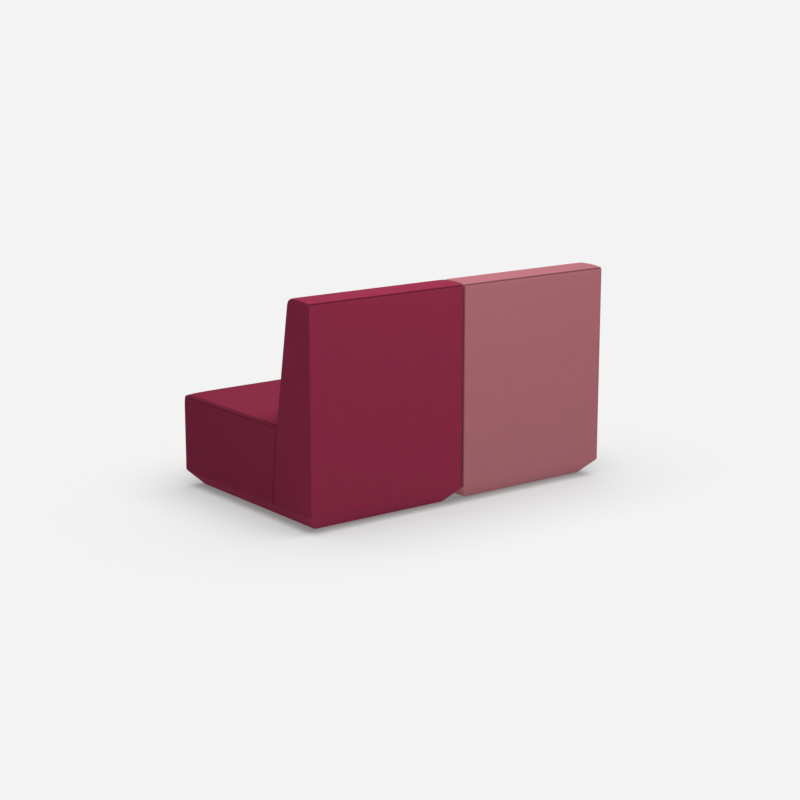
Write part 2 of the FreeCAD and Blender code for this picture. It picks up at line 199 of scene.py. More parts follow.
def feed(tree, socket, value):
    """Gives an input its value, or a link where the value is another node's output."""
    if isinstance(value, bpy.types.NodeSocket):
        tree.links.new(value, socket)
    else:
        socket.default_value = value


def set_inputs(tree, node, **values):
    """Feeds a node's inputs by name, with _ for a space."""
    for name, value in values.items():
        feed(tree, node.inputs[name.replace("_", " ")], value)


def add_node(tree, kind, **values):
    """A new node with its inputs set; a name that ends in _ is a setting of the node itself."""
    node = tree.nodes.new("ShaderNode" + kind)
    for name in [name for name in values if name.endswith("_")]:
        setattr(node, name[:-1], values.pop(name))
    set_inputs(tree, node, **values)
    return node


def calculate(tree, operation, first, second):
    node = add_node(tree, "Math", operation_=operation)
    feed(tree, node.inputs[0], first)
    feed(tree, node.inputs[1], second)
    return node.outputs["Value"]


def blend_colours(tree, factor, first, second, blend_type="MIX"):
    """A mix of two colours, given as tuples or sockets, by a factor."""
    mix = add_node(tree, "Mix", data_type_="RGBA", blend_type_=blend_type)
    for index, value in zip(mix_inputs, (factor, first, second)):
        feed(tree, mix.inputs[index], (*value, 1) if isinstance(value, tuple) else value)
    return mix.outputs[mix_output]


def blend_shaders(tree, factor, first, second):
    mix = add_node(tree, "MixShader", Fac=factor)
    tree.links.new(first, mix.inputs[1])
    tree.links.new(second, mix.inputs[2])
    return mix.outputs["Shader"]


def ramp(tree, factor, start, start_colour, end, end_colour):
    """A colour that changes from one to another as the factor goes from start to end."""
    node = add_node(tree, "ValToRGB", Fac=factor)
    stops = ((start, start_colour), (end, end_colour))
    for element, (place, colour) in zip(node.color_ramp.elements, stops):
        element.position = place
        element.color = (*colour, 1)
    return node.outputs["Color"]


def bump(tree, height, strength, distance):
    node = add_node(tree, "Bump", Height=height, Strength=strength, Distance=distance)
    return node.outputs["Normal"]


def tinted(colour, share):
    return tuple(share * c for c in colour)


def start_material(name):
    """A new material, with its node tree, its shader and its place in metres."""
    material = bpy.data.materials.new(name)
    material.use_nodes = True
    tree = material.node_tree
    place = add_node(tree, "TexCoord").outputs["Object"]
    return material, tree, tree.nodes["Principled BSDF"], place


def woven_height(tree, place, thread_pitch):
    """Crossed threads: each axis has its own, which fade on the faces square to that axis."""
    wave_scale = 2 * math.pi / (wave_factor * thread_pitch)
    normal = add_node(tree, "NewGeometry").outputs["True Normal"]
    facing = add_node(tree, "SeparateXYZ", Vector=normal)
    total = None
    for direction in "XYZ":
        wave = add_node(tree, "TexWave", bands_direction_=direction, Vector=place, Scale=wave_scale,
                        Distortion=0.6, Detail=1.0, Detail_Scale=0.4)
        towards = facing.outputs[direction]
        shown = calculate(tree, "SUBTRACT", 1.0, calculate(tree, "MULTIPLY", towards, towards))
        threads = calculate(tree, "MULTIPLY", wave.outputs["Fac"], shown)
        total = threads if total is None else calculate(tree, "ADD", total, threads)
    return calculate(tree, "MULTIPLY", total, 0.5)


def upholstery_fabric(name, colour):
    """A tight fine weave: two thread tones, faint mottling, and painted shade in the sewn grooves."""
    material, tree, shader, place = start_material(name)
    weave = woven_height(tree, place, weave_pitch)
    tone = blend_colours(tree, weave, tinted(colour, dark_thread), tinted(colour, light_thread))
    for scale, darkest in mottling:
        patches = add_node(tree, "TexNoise", Vector=place, Scale=scale, Detail=4.0, Roughness=0.65)
        shades = ramp(tree, patches.outputs["Fac"], 0.3, (darkest,) * 3, 0.7, (1.0, 1.0, 1.0))
        tone = blend_colours(tree, 1.0, tone, shades, "MULTIPLY")
    # Painted shade along the seams and grooves, mixed into the fabric's colour
    seam = add_node(tree, "Attribute", attribute_name_="seam").outputs["Fac"]
    fuzz = add_node(tree, "TexNoise", Vector=place, Scale=420.0, Detail=2.0, Roughness=0.6)
    height = calculate(tree, "ADD", weave, fuzz.outputs["Fac"])
    sheen = [min(1.0, sheen_gain * c + sheen_base) for c in colour]
    set_inputs(tree, shader, Base_Color=blend_colours(tree, seam, tone, tinted(colour, painted_shade_tone)),
               Normal=bump(tree, height, strength=0.45, distance=0.0006),
               Roughness=0.95, Specular_IOR_Level=0.05,
               Sheen_Weight=0.03, Sheen_Roughness=0.45, Sheen_Tint=(*sheen, 1))
    return material


def spun_thread(name, colour):
    """Sewing thread: a fine twist along the stitches."""
    material, tree, shader, place = start_material(name)
    twist = woven_height(tree, place, stitch_twist_pitch)
    set_inputs(tree, shader, Base_Color=blend_colours(tree, twist, tinted(colour, stitch_dark_tone), colour),
               Roughness=0.7, Specular_IOR_Level=0.15)
    return material


def dust_cover_cloth(name):
    """Black spunbond: bonded fibres with a faint pressed dot pattern."""
    material, tree, shader, place = start_material(name)
    fibres = add_node(tree, "TexNoise", Vector=place, Scale=520.0, Detail=4.0, Roughness=0.7)
    dots = add_node(tree, "TexVoronoi", Vector=place, Scale=420.0, Randomness=0.1)
    tone = ramp(tree, fibres.outputs["Fac"], 0.3, (0.010, 0.010, 0.011), 0.75, (0.035, 0.035, 0.037))
    set_inputs(tree, shader, Base_Color=tone, Roughness=0.8,
               Normal=bump(tree, dots.outputs["Distance"], strength=0.4, distance=0.0003))
    return material


def cut_foam(name):
    """Pale open-cell foam."""
    material, tree, shader, place = start_material(name)
    cells = add_node(tree, "TexVoronoi", Vector=place, Scale=650.0).outputs["Distance"]
    set_inputs(tree, shader, Base_Color=ramp(tree, cells, 0.0, (0.62, 0.55, 0.40), 0.6, (0.80, 0.74, 0.60)),
               Roughness=0.95, Normal=bump(tree, cells, strength=0.5, distance=0.0006))
    return material


def elastic_webbing(name):
    """Dark ribbed elastic strap."""
    material, tree, shader, place = start_material(name)
    ribs = woven_height(tree, place, thread_pitch=0.0022)
    set_inputs(tree, shader, Base_Color=blend_colours(tree, ribs, (0.06, 0.06, 0.07), (0.24, 0.24, 0.26)),
               Roughness=0.75, Normal=bump(tree, ribs, strength=0.5, distance=0.0006))
    return material


def layered_plywood(name):
    """Birch plywood with long grain streaks."""
    material, tree, shader, place = start_material(name)
    stretch = add_node(tree, "Mapping", Vector=place, Scale=(6.0, 60.0, 60.0)).outputs["Vector"]
    grain = add_node(tree, "TexNoise", Vector=stretch, Scale=3.0, Detail=8.0, Roughness=0.6).outputs["Fac"]
    set_inputs(tree, shader, Base_Color=ramp(tree, grain, 0.3, (0.42, 0.28, 0.15), 0.7, (0.66, 0.49, 0.30)),
               Roughness=0.6, Normal=bump(tree, grain, strength=0.25, distance=0.0005))
    return material


def pressed_hardboard(name):
    """Brown hardboard with fine fibres."""
    material, tree, shader, place = start_material(name)
    fibres = add_node(tree, "TexNoise", Vector=place, Scale=260.0, Detail=6.0, Roughness=0.7).outputs["Fac"]
    tone = ramp(tree, fibres, 0.3, (0.13, 0.075, 0.040), 0.7, (0.24, 0.15, 0.085))
    set_inputs(tree, shader, Base_Color=tone, Roughness=0.7)
    return material


def zinc_steel(name):
    """Bright zinc plating: faint crystals and handling marks in the gloss."""
    material, tree, shader, place = start_material(name)
    crystals = add_node(tree, "TexVoronoi", Vector=place, Scale=220.0).outputs["Distance"]
    marks = add_node(tree, "TexNoise", Vector=place, Scale=90.0, Detail=5.0, Roughness=0.65).outputs["Fac"]
    gloss = add_node(tree, "MapRange", Value=marks, To_Min=0.28, To_Max=0.46)
    tone = ramp(tree, crystals, 0.0, (0.50, 0.51, 0.53), 0.7, (0.64, 0.65, 0.66))
    set_inputs(tree, shader, Base_Color=tone, Metallic=1.0, Roughness=gloss.outputs["Result"],
               Normal=bump(tree, marks, strength=0.08, distance=0.0003))
    return material


def moulded_nylon(name):
    """Black moulded plastic with a fine spark-eroded grain."""
    material, tree, shader, place = start_material(name)
    grain = add_node(tree, "TexNoise", Vector=place, Scale=900.0, Detail=3.0, Roughness=0.6).outputs["Fac"]
    tone = ramp(tree, grain, 0.3, (0.012, 0.012, 0.013), 0.7, (0.022, 0.022, 0.024))
    set_inputs(tree, shader, Base_Color=tone, Roughness=0.5,
               Normal=bump(tree, grain, strength=0.2, distance=0.0002))
    return material


def stations(length, middle, roll):
    """Distances along a panel's edge: the rows beside both ends, and even steps between."""
    near = np.array([0.0] + [roll + step for step in row_steps])
    inner = np.linspace(near[-1], length - near[-1], middle + 2)[1:-1]
    return np.concatenate([near, inner, length - near[::-1]])


def arc_lengths(curve):
    steps = np.linalg.norm(np.diff(curve, axis=0), axis=1)
    return np.concatenate([[0.0], np.cumsum(steps)])


def sample(curve, middle, roll):
    """Points of a curve at its stations."""
    along = arc_lengths(curve)
    places = stations(along[-1], middle, roll)
    return np.stack([np.interp(places, along, curve[:, axis]) for axis in range(curve.shape[1])], axis=1)


def rounded(corners, runs):
    """A curve through corner points, each inner one rounded from its run before it to its run after it."""
    curve = [corners[0]]
    for before, corner, after, run in zip(corners, corners[1:], corners[2:], runs):
        start = corner + (before - corner) * run / np.linalg.norm(before - corner)
        end = corner + (after - corner) * run / np.linalg.norm(after - corner)
        for t in np.linspace(0, 1, curve_samples):
            curve.append((1 - t) ** 2 * start + 2 * t * (1 - t) * corner + t ** 2 * end)
    curve.append(corners[-1])
    return np.array(curve)


def at_side(side_view, x):
    """A side-view curve of (y, z) points placed at x, which may change from point to point."""
    return np.column_stack([np.broadcast_to(x, len(side_view)), side_view])


def line(start, end):
    return np.array([start, end], dtype=float)


def filled(left, right, bottom, top, u, v):
    """The points between four border curves, at shares u from left to right and v from bottom to top."""
    u = u[..., None]
    v = v[..., None]
    places = (1 - u) * left[:, None] + u * right[:, None]
    places += (1 - v) * bottom[None] + v * top[None]
    places -= (1 - u) * (1 - v) * left[0] + u * (1 - v) * right[0]
    places -= (1 - u) * v * left[-1] + u * v * right[-1]
    return places


def add_object(data):
    """A new object of a mesh's name in the scene."""
    made = bpy.data.objects.new(data.name, data)
    bpy.context.collection.objects.link(made)
    return made


def blown_panel(width, length):
    """A panel of cloth, pinned round its border and blown up: its shape from 0 to 1 over (u, v)."""
    columns = round(width / cloth_cell)
    rows = round(length / cloth_cell)
    across, along = np.meshgrid(np.linspace(0, width, columns + 1), np.linspace(0, length, rows + 1))
    numbers = np.arange(across.size).reshape(across.shape)
    corners = (numbers[:-1, :-1], numbers[:-1, 1:], numbers[1:, 1:], numbers[1:, :-1])
    data = bpy.data.meshes.new("panel")
    data.from_pydata(np.stack([across, along, 0 * across], axis=-1).reshape(-1, 3).tolist(), [],
                     np.stack(corners, axis=-1).reshape(-1, 4).tolist())
    panel = add_object(data)
    border = np.ones(across.shape, dtype=bool)
    border[1:-1, 1:-1] = False
    panel.vertex_groups.new(name="sewn").add(numbers[border].tolist(), 1.0, "REPLACE")
    cloth = panel.modifiers.new("cloth", "CLOTH")
    cloth.settings.vertex_group_mass = "sewn"
    cloth.settings.use_pressure = True
    cloth.settings.uniform_pressure_force = cloth_pressure
    cloth.settings.effector_weights.gravity = 0
    cloth.point_cache.frame_start = 1
    cloth.point_cache.frame_end = cloth_frames
    for number in range(1, cloth_frames + 1):
        bpy.context.scene.frame_set(number)
    blown = panel.evaluated_get(bpy.context.evaluated_depsgraph_get()).data
    heights = np.array([vertex.co.z for vertex in blown.vertices]).reshape(across.shape)
    heights /= heights.max()
    bpy.data.objects.remove(panel)
    bpy.data.meshes.remove(data)
    bpy.context.scene.frame_set(1)

    def shape(u, v):
        column = np.clip((u * columns).astype(int), 0, columns - 1)
        row = np.clip((v * rows).astype(int), 0, rows - 1)
        right = u * columns - column
        up = v * rows - row
        low = (1 - right) * heights[row, column] + right * heights[row, column + 1]
        high = (1 - right) * heights[row + 1, column] + right * heights[row + 1, column + 1]
        return (1 - up) * low + up * high

    return shape


class Shell:
    """Sewn panels gathered into one mesh. Panels share the points along their borders."""

    def __init__(self, roll):
        self.roll = roll
        self.sewn = []
        self.mesh = bmesh.new()
        self.weight = self.mesh.edges.layers.float.new("bevel_weight_edge")
        # Painted shade of the seams and grooves, which darkens the fabric's colour
        self.seam = self.mesh.verts.layers.float.new("seam")
        self.known = {}

    def point(self, place, shade=0.0):
        key = tuple(int(round(c / weld_distance)) for c in place)
        if key not in self.known:
            self.known[key] = self.mesh.verts.new(place)
        vertex = self.known[key]
        vertex[self.seam] = max(vertex[self.seam], shade)
        return vertex

    def face(self, corners):
        distinct = list(dict.fromkeys(corners))
        if len(distinct) > 2:
            self.mesh.faces.new(distinct)

    def panel(self, left, right, bottom, top, middle, outwards, lift=flat_lift,
              grooves=(None,) * 4, seams=(None,) * 4, soft=(1, 1, 1, 1), crown=None):
        """Fills four border curves, lifts the middle, and presses grooves beside the borders that have one.

        left and right run from bottom to top. grooves, seams and the edges' softness are for left, right,
        bottom and top.
        """
        widths = np.linalg.norm(right - left, axis=1)
        u = np.array([stations(width, middle, self.roll) / width for width in widths])
        left_along = arc_lengths(left)
        right_along = arc_lengths(right)
        v = (1 - u) * (left_along / left_along[-1])[:, None] + u * (right_along / right_along[-1])[:, None]
        places = filled(left, right, bottom, top, u, v)
        normals = np.cross(np.gradient(places, axis=1), np.gradient(places, axis=0))
        normals /= np.linalg.norm(normals, axis=2, keepdims=True)
        normals *= np.sign(normals[len(left) // 2, len(bottom) // 2] @ np.array(outwards))

        run = (1 - u) * left_along[:, None] + u * right_along[:, None]
        height = (1 - u) * left_along[-1] + u * right_along[-1]
        distances = (u * widths[:, None], (1 - u) * widths[:, None], run, height - run)
        rise = np.full(u.shape, lift[0])
        for distance in distances:
            rise *= 1 - np.exp(-distance / lift[1])
        if crown is not None:
            rise += crown(u, v)
        shade = self.press_grooves(rise, distances, grooves)
        border = np.minimum.reduce(distances) < border_distance
        rise[border] = 0.0
        shade[border] = 0.0
        places += rise[..., None] * normals

        grid = [[self.point(place, value) for place, value in zip(*row)] for row in zip(places, shade)]
        for lower, upper in zip(grid, grid[1:]):
            for corners in zip(lower, lower[1:], upper[1:], upper):
                self.face(corners)
        columns = list(zip(*grid))
        for chain, weight in zip((columns[0], columns[-1], grid[0], grid[-1]), soft):
            self.mark(chain, weight)
        for border_line, seam in zip((left, right, bottom, top), seams):
            if seam:
                self.sewn.append((border_line, seam))

    def press_grooves(self, rise, distances, grooves):
        """Lowers a panel's rise in the grooves beside its borders, and gives the painted shade that darkens
        them.
        """
        shade = np.zeros(rise.shape)
        for distance, groove in zip(distances, grooves):
            if groove:
                depth, darkness, edge_spread, panel_spread = groove
                inwards = distance - self.roll - groove_step
                press = np.exp(-(inwards / np.where(inwards > 0, panel_spread, edge_spread)) ** 2)
                rise -= depth * press
                shade = np.maximum(shade, darkness * press)
        return shade

    def mark(self, chain, weight):
        """Sets how fully the edges along a chain of points are rolled."""
        for a, b in zip(chain, chain[1:]):
            edge = self.mesh.edges.get((a, b))
            if edge is not None:
                edge[self.weight] = weight

    def hem(self, half_x, y_low, y_high, loop):
        """The turned-in hem under the foot, closed above it."""
        rim = []
        for place in loop:
            x = min(max(place[0], hem_width - half_x), half_x - hem_width)
            y = min(max(place[1], y_low + hem_width), y_high - hem_width)
            rim.append((x, y, place[2]))
        inner = [self.point(place) for place in rim]
        raised = [self.point((x, y, z + hem_rise)) for x, y, z in rim]
        outer = [self.point(place) for place in loop]
        for first, second in ((outer, inner), (inner, raised)):
            for i in range(len(loop)):
                self.face((first[i - 1], first[i], second[i], second[i - 1]))
        self.face(raised)

    def finish(self, name, centre_x, shape=None):
        """The rolled, smoothed and sewn cover as an object."""
        bmesh.ops.remove_doubles(self.mesh, verts=self.mesh.verts, dist=weld_distance)
        bmesh.ops.recalc_face_normals(self.mesh, faces=self.mesh.faces)
        for face in self.mesh.faces:
            face.smooth = True
        data = bpy.data.meshes.new(name)
        self.mesh.to_mesh(data)
        self.mesh.free()
        piece = add_object(data)
        roll = piece.modifiers.new("roll", "BEVEL")
        roll.limit_method = "WEIGHT"
        roll.offset_type = "OFFSET"
        roll.width = self.roll
        roll.segments = roll_segments
        roll.profile = roll_profile
        smooth = piece.modifiers.new("smooth", "SUBSURF")
        smooth.levels = 1
        smooth.render_levels = 1
        apply_modifiers(piece)
        self.press_seams(piece.data)
        if shape:
            shape(piece.data)
        piece.data.transform(Matrix.Translation((centre_x, 0, 0)))
        return piece

    def press_seams(self, data):
        """Draws the rolled edges in along their seams, and paints shade into the fabric's colour there."""
        # A square edge's roll comes this near to the sharp edge's line
        nearest = self.roll * (math.sqrt(2) - 1)
        shade = data.attributes["seam"].data
        normals = [vertex.normal.copy() for vertex in data.vertices]
        for border_line, (depth, darkness) in self.sewn:
            along = arc_lengths(border_line)
            places = np.arange(0, along[-1], seam_sample_step)
            points = [np.interp(places, along, border_line[:, axis]) for axis in range(3)]
            tree = KDTree(len(places))
            for index, point in enumerate(zip(*points)):
                tree.insert(point, index)
            tree.balance()
            for vertex, normal in zip(data.vertices, normals):
                distance = tree.find(vertex.co)[2]
                if distance > roll_seam_reach * self.roll:
                    continue
                press = math.exp(-(max(distance - nearest, 0) / roll_seam_spread) ** 2)
                vertex.co -= normal * (depth * press)
                shade[vertex.index].value = max(shade[vertex.index].value, darkness * press)


def apply_modifiers(piece):
    evaluated = piece.evaluated_get(bpy.context.evaluated_depsgraph_get())
    made = bpy.data.meshes.new_from_object(evaluated)
    piece.modifiers.clear()
    old = piece.data
    piece.data = made
    made.name = piece.name
    bpy.data.meshes.remove(old)


class Module:
    """One seat module's outline, read from its covers' boxes and built round x = 0."""

    def __init__(self, side):
        seat_low, seat_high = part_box(side + "_seat_cover")
        back_low, back_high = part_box(side + "_back_cover")
        self.side = side
        self.centre_x = (seat_low[0] + seat_high[0]) / 2
        self.half = (seat_high[0] - seat_low[0]) / 2
        self.foot_half = self.half - bevel_inset
        self.front_y = seat_low[1] - front_proud
        self.rear_y = back_high[1]
        self.foot_z = back_low[2]
        self.fold_z = self.foot_z + bevel_height
        self.top_z = back_high[2]
        self.rear_seams = (gap_seam, plain_seam) if self.centre_x > 0 else (plain_seam, gap_seam)

    def joint_y(self, z, forward):
        """Where the seat meets the back at a height, moved forward by a distance."""
        slope = (back_base_depth - back_seat_depth) / (seat_height - self.foot_z)
        return self.rear_y - back_seat_depth - (seat_height - z) * slope - forward

    def across(self, half, y, z, roll):
        return sample(line((-half, y, z), (half, y, z)), across_count, roll)

    def slants(self, foot, fold, roll):
        """The two ends of a bevel, from its foot to its fold, by the sign of their x."""
        curves = {}
        for sign in (-1, 1):
            reach = np.array([self.foot_half, self.half]) * sign
            curves[sign] = sample(at_side(np.array([foot, fold]), reach), bevel_count, roll)
        return curves

    def close_foot(self, shell, first, second, foot):
        """Hems a cover's foot, whose edges are first, foot at +X, second and foot at -X."""
        low = self.foot_half
        loop = np.concatenate([
            first[:-1], at_side(foot, low)[:-1], second[::-1][:-1], at_side(foot[::-1], -low)[:-1],
        ])
        y_low, y_high = sorted((foot[0][0], foot[-1][0]))
        shell.hem(low, y_low, y_high, loop)

    def back(self):
        """The back's cover: rear, top and front, two sides, bevels and hem."""
        rear = self.rear_y
        half = self.half
        roll = back_roll
        forward = -block_gap / 2
        corners = np.array([
            (rear, self.top_z - back_top_fall),
            (rear - back_top_fall_run, self.top_z),
            (rear - back_top_depth, self.top_z),
            (self.joint_y(seat_height, forward), seat_height),
            (self.joint_y(self.fold_z, forward), self.fold_z),
        ])
        fold_rear = (rear, self.fold_z)
        foot_rear = (rear - bevel_inset, self.foot_z)
        foot_front = (self.joint_y(self.foot_z, forward), self.foot_z)
        profile = rounded(corners, [crest_run, back_top_front_run, back_waist_run])
        split = int(np.argmin(np.linalg.norm(profile - corners[2], axis=1)))
        top = sample(profile[: split + 1], depth_count, roll)
        front = sample(profile[split:], height_count, roll)
        over = np.concatenate([top, front[1:]])
        rise = sample(line(fold_rear, corners[0]), height_count, roll)
        fold = sample(line(fold_rear, corners[-1]), depth_count, roll)
        foot = sample(line(foot_rear, foot_front), depth_count, roll)
        rear_fold = self.across(half, *fold_rear, roll)
        rear_top = self.across(half, *corners[0], roll)
        joint_fold = self.across(half, *corners[-1], roll)
        rear_foot = self.across(self.foot_half, *foot_rear, roll)
        joint_foot = self.across(self.foot_half, *foot_front, roll)
        rear_slants = self.slants(foot_rear, fold_rear, roll)
        joint_slants = self.slants(foot_front, corners[-1], roll)
        blown = blown_panel(2 * half, self.top_z - seat_height)

        def crown(u, v):
            run = arc_lengths(over)
            start = run[len(top) - 1] / run[-1]
            end = start + (self.top_z - seat_height) / run[-1]
            return back_crown * blown(u, np.clip((v - start) / (end - start), 0, 1))

        shell = Shell(roll)
        bevel_soft = (1, 1, hem_weight, 1)
        shell.panel(at_side(rise, -half), at_side(rise, half), rear_fold, rear_top, across_count, (0, 1, 0),
                    seams=(*self.rear_seams, None, top_seam))
        shell.panel(at_side(over, -half), at_side(over, half), rear_top, joint_fold, across_count,
                    (0, -1, 0.5), lift=front_lift, seams=(side_seam, side_seam, None, None), crown=crown)
        shell.panel(rear_slants[-1], rear_slants[1], rear_foot, rear_fold, across_count, (0, 1, -1),
                    soft=bevel_soft)
        shell.panel(joint_slants[-1], joint_slants[1], joint_foot, joint_fold, across_count, (0, -1, 0),
                    soft=bevel_soft)
        for sign in (-1, 1):
            side_fold = at_side(fold, sign * half)
            shell.panel(at_side(rise, sign * half), at_side(front[::-1], sign * half), side_fold,
                        at_side(top, sign * half), depth_count, (sign, 0, 0), lift=side_lift)
            side_foot = at_side(foot, sign * self.foot_half)
            shell.panel(rear_slants[sign], joint_slants[sign], side_foot, side_fold, depth_count,
                        (sign, 0, -1), soft=bevel_soft)
        self.close_foot(shell, rear_foot, joint_foot, foot)
        return shell.finish(self.side + "_back_upholstery", self.centre_x)

    def seat(self):
        """The seat's cover: top, front, two sides, bevels and hem."""
        ahead = self.front_y
        half = self.half
        roll = seat_roll
        forward = block_gap / 2
        edge_z = seat_height + seat_edge_rise
        top_front = (ahead, edge_z)
        top_rear = (self.joint_y(seat_height, forward), edge_z)
        fold_front = (ahead, self.fold_z)
        fold_rear = (self.joint_y(self.fold_z, forward), self.fold_z)
        foot_front = (ahead + bevel_inset, self.foot_z)
        foot_rear = (self.joint_y(self.foot_z, forward), self.foot_z)
        front_rise = sample(line(fold_front, top_front), seat_height_count, roll)
        rear_rise = sample(line(fold_rear, top_rear), seat_height_count, roll)
        top = sample(line(top_front, top_rear), seat_depth_count, roll)
        fold = sample(line(fold_front, fold_rear), seat_depth_count, roll)
        foot = sample(line(foot_front, foot_rear), seat_depth_count, roll)
        front_top = self.across(half, *top_front, roll)
        front_top[:, 2] += self.front_bow(front_top[:, 0])
        joint_top = self.across(half, *top_rear, roll)
        front_fold = self.across(half, *fold_front, roll)
        joint_fold = self.across(half, *fold_rear, roll)
        front_foot = self.across(self.foot_half, *foot_front, roll)
        joint_foot = self.across(self.foot_half, *foot_rear, roll)
        front_slants = self.slants(foot_front, fold_front, roll)
        joint_slants = self.slants(foot_rear, fold_rear, roll)
        blown = blown_panel(2 * half, top_rear[0] - ahead)

        shell = Shell(roll)
        bevel_soft = (1, 1, hem_weight, 1)
        shell.panel(at_side(top, -half), at_side(top, half), front_top, joint_top, across_count, (0, 0, 1),
                    lift=seat_top_lift, grooves=(topstitch_groove, topstitch_groove, None, None),
                    crown=lambda u, v: seat_crown * blown(u, v))
        shell.panel(at_side(front_rise, -half), at_side(front_rise, half), front_fold, front_top,
                    across_count, (0, -1, 0), lift=side_lift,
                    seams=(plain_seam, plain_seam, None, side_seam))
        shell.panel(at_side(rear_rise, -half), at_side(rear_rise, half), joint_fold, joint_top, across_count,
                    (0, 1, 0))
        shell.panel(front_slants[-1], front_slants[1], front_foot, front_fold, across_count, (0, -1, -1),
                    soft=bevel_soft)
        shell.panel(joint_slants[-1], joint_slants[1], joint_foot, joint_fold, across_count, (0, 1, 0),
                    soft=bevel_soft)
        for sign in (-1, 1):
            side_fold = at_side(fold, sign * half)
            shell.panel(at_side(front_rise, sign * half), at_side(rear_rise, sign * half), side_fold,
                        at_side(top, sign * half), seat_depth_count, (sign, 0, 0), lift=side_lift,
                        grooves=(None, None, None, fell_groove))
            side_foot = at_side(foot, sign * self.foot_half)
            shell.panel(front_slants[sign], joint_slants[sign], side_foot, side_fold, seat_depth_count,
                        (sign, 0, -1), soft=bevel_soft)
        self.close_foot(shell, front_foot, joint_foot, foot)
        return shell.finish(self.side + "_seat_upholstery", self.centre_x, self.soften_front)

    def front_bow(self, x):
        """How far the seat's front edge rises between its corners."""
        return seat_front_bow * (1 - (x / self.half) ** 4)

    def soften_front(self, data):
        """Rounds the seat's front edges more fully than its sewn sides, and its top front corners most."""
        for vertex in data.vertices:
            place = vertex.co
            # Distances into the block from its side, front and top
            inset = bevel_inset * max(0.0, (self.fold_z - place.z) / bevel_height)
            beside = self.half - inset - abs(place.x)
            ahead = place.y - self.front_y - inset
            below = seat_height + seat_edge_rise + self.front_bow(place.x) - place.z
            upright = corner_roll(seat_front_roll, seat_corner_roll, below)
            upright = corner_roll(upright, seat_foot_roll, place.z - self.fold_z)
            ahead, beside = round_corner(ahead, beside, upright)
            front_edge = corner_roll(seat_front_roll, seat_corner_roll, beside)
            ahead, below_now = round_corner(ahead, below, front_edge)
            side_edge = corner_roll(seat_roll, seat_corner_roll, ahead)
            beside, below_now = round_corner(beside, below_now, side_edge)
            place.x = math.copysign(self.half - inset - beside, place.x)
            fade = max(0.0, 1 - ahead / seat_corner_reach) ** 2
            place.y = self.front_y + inset + ahead + fade * self.fold_rounding(place.z)
            place.z -= below_now - below

    def fold_rounding(self, z):
        """How far the front draws in where it folds into its bevel."""
        near = max(0.0, 1 - abs(z - self.fold_z) / seat_fold_run)
        return bevel_inset / bevel_height * seat_fold_run / 4 * near ** 2


def corner_roll(along_roll, end_roll, distance):
    """An edge's rounding, which changes towards the corner that it ends in."""
    near = min(1.0, max(0.0, 1 - distance / seat_corner_reach))
    return along_roll + (end_roll - along_roll) * near ** 2


def round_corner(first, second, radius):
    """Two distances into a block from the faces that meet at an edge, moved onto the edge's rounding."""
    over = math.hypot(radius - first, radius - second)
    if first >= radius or second >= radius or over <= radius:
        return first, second
    return radius - (radius - first) * radius / over, radius - (radius - second) * radius / over


def topstitching(module, seat, thread):
    """Rows of thread in the grooves along the seat's two top side edges."""
    tree = BVHTree.FromPolygons([v.co for v in seat.data.vertices], [f.vertices for f in seat.data.polygons])
    mesh = bmesh.new()
    inset = seat_roll + groove_step
    first_y = module.front_y + seat_corner_roll
    last_y = module.joint_y(seat_height, block_gap) - seat_corner_roll
    for sign in (-1, 1):
        x = module.centre_x + sign * (module.half - inset)
        for y in np.arange(first_y, last_y, stitch_pitch):
            points = []
            for along, lift in ((-0.5, stitch_end_lift), (0.0, stitch_middle_lift), (0.5, stitch_end_lift)):
                start = Vector((x, y + along * stitch_length, above_sofa_z))
                place, normal, _, _ = tree.ray_cast(start, Vector((0, 0, -1)))
                points.append(place + normal * stitch_radius * lift)
            add_stitch(mesh, points)
    data = bpy.data.meshes.new(module.side + "_seat_topstitch")
    mesh.to_mesh(data)
    mesh.free()
    for face in data.polygons:
        face.use_smooth = True
    data.materials.append(thread)
    return add_object(data)


def add_stitch(mesh, points):
    """One stitch: a short thread that dips into the fabric at both ends."""
    rings = []
    for place, share in zip(points, (stitch_taper, 1.0, stitch_taper)):
        ring = []
        for turn in np.linspace(0, 2 * math.pi, stitch_sides, endpoint=False):
            across = Vector((math.cos(turn), 0, math.sin(turn))) * stitch_radius * share
            ring.append(mesh.verts.new(place + across))
        rings.append(ring)
    for low, high in zip(rings, rings[1:]):
        for i in range(stitch_sides):
            mesh.faces.new((low[i - 1], low[i], high[i], high[i - 1]))
    mesh.faces.new(rings[0][::-1])
    mesh.faces.new(rings[-1])


def dress_module(side, fabric, thread):
    """Replaces a module's cover solids with its sewn covers, and adds its stitching."""
    module = Module(side)
    seat = module.seat()
    for piece, node in ((module.back(), "_back_cover"), (seat, "_seat_cover")):
        piece.data.materials.clear()
        piece.data.materials.append(fabric)
        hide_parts(side + node)
        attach(piece, "sofa")
    stitches = topstitching(module, seat, thread)
    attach(stitches, "sofa")


def dress_frame():
    """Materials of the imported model's own pieces, by the last words of their names."""
    finishes = (
        (cut_foam("foam"), ("foam",)),
        (elastic_webbing("webbing"), ("webbing",)),
        (dust_cover_cloth("dust_cover_cloth"), ("dust_cover",)),
        (pressed_hardboard("hardboard"), ("rear_panel",)),
        (moulded_nylon("glide_plastic"), ("glides",)),
        (layered_plywood("plywood"), ("board", "rail", "gable", "blocks")),
        (zinc_steel("zinc_steel"), ("bolts", "nuts", "screws", "plate", "studs")),
    )
    for name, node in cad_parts.items():
        for finish, endings in finishes:
            if name.endswith(endings):
                node.data.materials.clear()
                node.data.materials.append(finish)


def page_rays(tree):
    """1 for rays that see the page: from the camera, and in gloss and glass."""
    path = add_node(tree, "LightPath")
    seen = calculate(tree, "MAXIMUM", path.outputs["Is Camera Ray"], path.outputs["Is Glossy Ray"])
    return calculate(tree, "MAXIMUM", seen, path.outputs["Is Transmission Ray"])


